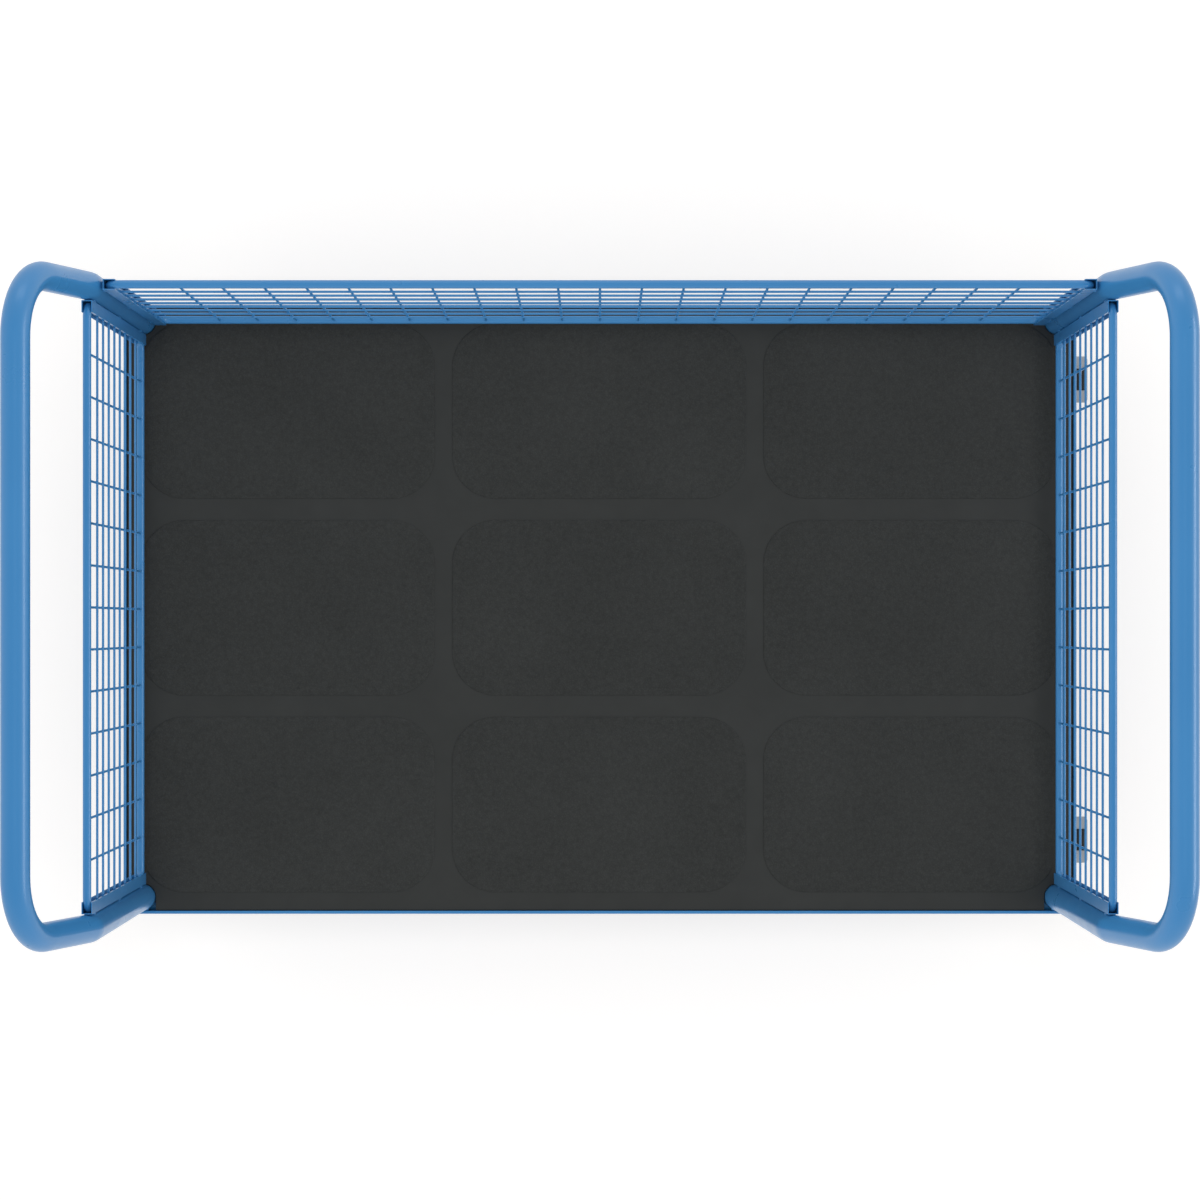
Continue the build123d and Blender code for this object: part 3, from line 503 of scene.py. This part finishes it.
def makeFrameWelds(values):
    shells = []
    radius = values["legRadius"] * mm
    for sx, sy in quadrants:  # short beads between each leg and the lip beside it
        turn = np.linspace(-values["legTurn"], values["legTurn"], 30)
        ring = tubeRadius + values["legGap"] * mm
        nearY = np.stack([sx * (legX + ring * np.sin(turn)), sy * (legY + ring * np.cos(turn)),
                          np.full(30, lipTop - values["legDrop"] * mm)], 1)
        shells.append(bead(nearY, radius))
    high = np.array(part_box("caster_mounting_plates")[1])
    fillet = values["filletRadius"] * mm
    end, runX, runY = (values[k] * mm for k in ("plateEnd", "plateRunX", "plateRunY"))
    for sx, sy in quadrants:  # beads along the mounting plates' outer edges, under the frame's flange
        z = flangeLow - fillet * 0.5
        x, y = sx * (high[0] - end), sy * high[1]
        shells.append(bead(line((x - sx * runX, y, z), (x, y, z)), fillet))
        x, y = sx * high[0], sy * (high[1] - end)
        shells.append(bead(line((x, y - sy * runY, z), (x, y, z)), fillet))
    braceHigh = np.array(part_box("cross_braces")[1])
    for sx, sy in quadrants:  # beads where the braces meet the long rails
        x, y = sx * (braceHigh[0] - values["braceEnd"] * mm), sy * braceHigh[1]
        z = braceHigh[2] - values["braceDrop"] * mm
        shells.append(bead(line((x - sx * values["braceRun"] * mm, y, z), (x, y, z)), fillet))
    makePiece("frameWelds", shells, "root", "blue_powder_coat", crease=70.0)


makeChannelTacks(weldValues)
makeFrameWelds(weldValues)
print("welds placed")

# Tyres
tyreValues = {"radius": 80.0, "half": 20.0, "seat": 60.1, "segments": 112}


def tyreProfile(values):  # (radius, y): tread crown, shoulder, a raised ring and a groove on each sidewall
    r, h = values["radius"], values["half"]
    one = [(r, 0.0), (r - 0.05, 4.0), (r - 0.25, 9.0), (r - 0.7, 13.0), (r - 1.6, 15.8), (r - 3.2, 18.0),
           (r - 5.4, 19.3), (r - 8.0, h), (r - 9.4, h), (r - 9.8, h - 0.55), (r - 10.6, h - 0.55),
           (r - 11.0, h - 0.1), (r - 15.0, h - 0.35), (r - 15.5, h - 0.9), (r - 17.4, h - 1.0),
           (r - 18.6, h - 1.6), (values["seat"], h - 2.6)]
    other = [(a, -b) for a, b in reversed(one[1:])]
    return np.array(one + other) * mm


def makeTyre(node):
    low, high = (np.array(c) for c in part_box(node))
    words = node.split("_")
    name = words[0] + "".join(word.capitalize() for word in words[1:])
    shell = revolved(tyreProfile(tyreValues), (low + high) / 2, tyreValues["segments"])
    piece = makePiece(name + "Moulded", [shell], nodeBody[node], "tyre_rubber", crease=35.0)
    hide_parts(node)


for node in sorted(n for n in frame["nodes"] if n.endswith("_tyre")):
    makeTyre(node)
print("tyres moulded")

# Lock nuts: a swaged collar with its nylon ring on each axle nut
collarValues = {"inner": 6.1, "outer": 8.3, "height": 1.9, "ring": 7.3, "ringRise": 0.5, "segments": 40}


def makeCollars(node, values):
    nut = "right_front_axle_nut"  # every nut stands as far from its wheel's middle as this one
    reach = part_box(nut)[1].y - sum(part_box("right_front_tyre")[i].y for i in (0, 1)) / 2
    low, high = (np.array(c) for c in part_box(node))
    centre = (low + high) / 2 + (0, reach, 0)
    a, b, h, r, rise = (values[k] * mm for k in ("inner", "outer", "height", "ring", "ringRise"))
    steel = np.array([(r, -0.2 * mm), (b, -0.2 * mm), (b, h * 0.5), (b - 0.3 * mm, h * 0.85), (b - 0.7 * mm, h),
                      (r + 0.2 * mm, h), (r, h - 0.2 * mm)])
    nylon = np.array([(a, -0.2 * mm), (r - 0.02 * mm, -0.2 * mm), (r - 0.02 * mm, h - rise),
                      (r - 0.3 * mm, h - 0.1 * mm), (a + 0.3 * mm, h - 0.1 * mm), (a, h - rise)])
    words = node.replace("_tyre", "").split("_")
    name = words[0] + words[1].capitalize()
    body = nodeBody[node].replace("_wheel", "_swivel") if words[0] == "right" else "root"
    makePiece(name + "LockNutCollar", [revolved(steel, centre, values["segments"])], body, "zinc_fasteners")
    makePiece(name + "LockNutRing", [revolved(nylon, centre, values["segments"])], body, "grey_polypropylene")


for node in sorted(n for n in frame["nodes"] if n.endswith("_tyre")):
    makeCollars(node, collarValues)
print("lock nuts finished")

# Pedal pads: moulded rubber with ribs across the foot
pedalValues = {"ribs": 5, "ribHeight": 0.9, "edge": 1.2, "rows": 61, "columns": 25}


def makePedalPad(node, values):
    # height(u, v) = top - ribHeight (1 - |cos(pi ribs u)|^0.6) inside, and a quarter circle down round the rim
    low, high = (np.array(c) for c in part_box(node))
    u = np.linspace(0, 1, values["rows"])[:, None]
    v = np.linspace(0, 1, values["columns"])[None, :]
    size = high - low
    x = low[0] + size[0] * u + 0 * v
    y = low[1] + size[1] * v + 0 * u
    edge = values["edge"] * mm
    away = np.minimum.reduce([x - low[0], high[0] - x, y - low[1], high[1] - y])
    rim = edge - np.sqrt(np.maximum(edge ** 2 - np.maximum(edge - away, 0) ** 2, 0))
    ribs = values["ribHeight"] * mm * (1 - np.abs(np.cos(math.pi * values["ribs"] * u)) ** 0.6)
    inside = np.clip((away - edge) / edge, 0, 1)
    z = high[2] - rim - ribs * inside
    top = np.stack([x, y, z], -1).reshape(-1, 3)
    under = top.copy()
    under[:, 2] = low[2]
    count = len(top)
    rows, columns = values["rows"], values["columns"]
    faces = gridFaces(rows, columns)
    faces += [tuple(i + count for i in reversed(f)) for f in gridFaces(rows, columns)]
    index = np.arange(count).reshape(rows, columns)
    border = np.concatenate([index[0], index[1:, -1], index[-1, -2::-1], index[-2:0:-1, 0]])
    following = np.roll(border, -1)
    faces += [(int(b), int(a), int(a) + count, int(b) + count) for a, b in zip(border, following)]
    piece = makePiece(node.split("_")[1] + "PedalPadRibbed", [(np.concatenate([top, under]), faces)],
                      nodeBody[node], "pedal_rubber")
    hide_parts(node)


for node in ("right_front_pedal_pad", "right_back_pedal_pad"):
    makePedalPad(node, pedalValues)
print("pedal pads moulded")

# Pressings and plates with their punched edges rounded over
softEdges = {"_fork": 0.7, "_top_plate": 0.7, "_brake_pedal": 0.7, "_wheel_rim": 0.8, "mounting_plates": 0.8,
             "_axle_nut": 0.5, "_axle_bolt": 0.5, "fixed_axle": 0.5, "caster_bolts": 0.4, "hoop_bolts": 0.4,
             "_brake_pin": 0.4}  # edge radius in mm by kind of node


def roundEdges(node, radiusMm):
    source = frame["nodes"][node]
    soft = bmesh.new()
    soft.from_mesh(source.data)
    bmesh.ops.remove_doubles(soft, verts=soft.verts, dist=0.005 * mm)
    bmesh.ops.dissolve_limit(soft, angle_limit=math.radians(0.6), verts=soft.verts, edges=soft.edges,
                             delimit={"NORMAL"})
    words = node.split("_")
    name = words[0] + "".join(word.capitalize() for word in words[1:]) + "Rounded"
    mesh = bpy.data.meshes.new(name)
    soft.to_mesh(mesh)
    soft.free()
    for attribute in [a.name for a in mesh.attributes if a.name == "custom_normal"]:
        mesh.attributes.remove(mesh.attributes[attribute])
    mesh.polygons.foreach_set("use_smooth", np.ones(len(mesh.polygons), bool))
    mesh.set_sharp_from_angle(angle=math.radians(35))
    mesh.materials.clear()
    mesh.materials.append(finishes[slotFinish[nodeSlot[node]]])
    piece = bpy.data.objects.new(name, mesh)
    bpy.context.scene.collection.objects.link(piece)
    bevel = piece.modifiers.new("edge", "BEVEL")
    bevel.width = radiusMm * mm
    bevel.segments = 2
    bevel.limit_method = "ANGLE"
    bevel.angle_limit = math.radians(40)
    bevel.use_clamp_overlap = True
    bevel.miter_outer = "MITER_ARC"
    weights = piece.modifiers.new("flats", "WEIGHTED_NORMAL")
    weights.keep_sharp = False
    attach(piece, nodeBody[node])
    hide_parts(node)


for node in sorted(frame["nodes"]):
    for ending, radiusMm in softEdges.items():
        if ending in node and "roller" not in node:
            roundEdges(node, radiusMm)
            break
print("pressings rounded")

# Floor, soft light and pale surroundings
studioValues = {
    "floor": "#D7D4D1", "floorGlow": 0.48, "zenith": 0.5, "horizon": 1.06,
    "top": {"place": (0.0, 0.0, 6.2), "size": (2.0, 2.4), "watts": 97.0},
    "right": {"place": (3.4, 0.0, 1.6), "size": (0.8, 3.0), "watts": 44.0},
    "back": {"place": (0.0, 3.4, 2.2), "size": (1.0, 3.0), "watts": 16.0},
}


def makeStudio(values):
    mesh = bpy.data.meshes.new("floor")
    mesh.from_pydata([(-30, -30, 0), (30, -30, 0), (30, 30, 0), (-30, 30, 0)], [], [(0, 1, 2, 3)])
    floor = bpy.data.objects.new("floor", mesh)
    bpy.context.scene.collection.objects.link(floor)
    material, tree, shader, place = startMaterial("pale floor", {"Roughness": 0.9, "Specular IOR Level": 0.1})
    shader.inputs["Base Color"].default_value = linearColour(values["floor"])
    shader.inputs["Emission Color"].default_value = (1, 1, 1, 1)
    shader.inputs["Emission Strength"].default_value = values["floorGlow"]
    mesh.materials.append(material)

    for name in ("top", "right", "back"):
        light = values[name]
        lamp = bpy.data.lights.new(f"{name} soft box", "AREA")
        lamp.shape = "RECTANGLE"
        lamp.size, lamp.size_y = light["size"][1], light["size"][0]
        lamp.energy = light["watts"]
        box = bpy.data.objects.new(f"{name} soft box", lamp)
        box.location = light["place"]
        x, y, z = light["place"]
        tilt = math.atan2(math.hypot(x, y), z - 0.5)
        box.rotation_euler = (tilt, 0, math.atan2(y, x) + math.pi / 2)
        box.visible_glossy = name != "top"  # the top light only fills, the other two only give the gloss
        box.visible_diffuse = name == "top"
        bpy.context.scene.collection.objects.link(box)

    world = bpy.data.worlds.new("studio")
    bpy.context.scene.world = world
    world.use_nodes = True
    tree = world.node_tree
    sky = tree.nodes["Background"]
    place = addNode(tree, "ShaderNodeTexCoord", {}).outputs["Generated"]
    height = addNode(tree, "ShaderNodeSeparateXYZ", {}, [("Vector", place)]).outputs["Z"]
    tree.links.new(spread(tree, height, values["horizon"], values["zenith"], 0.0, 1.0), sky.inputs["Strength"])
    sky.inputs["Color"].default_value = (1, 1, 1, 1)
    bpy.context.scene.view_settings.view_transform = "Standard"


makeStudio(studioValues)
print("studio lit")
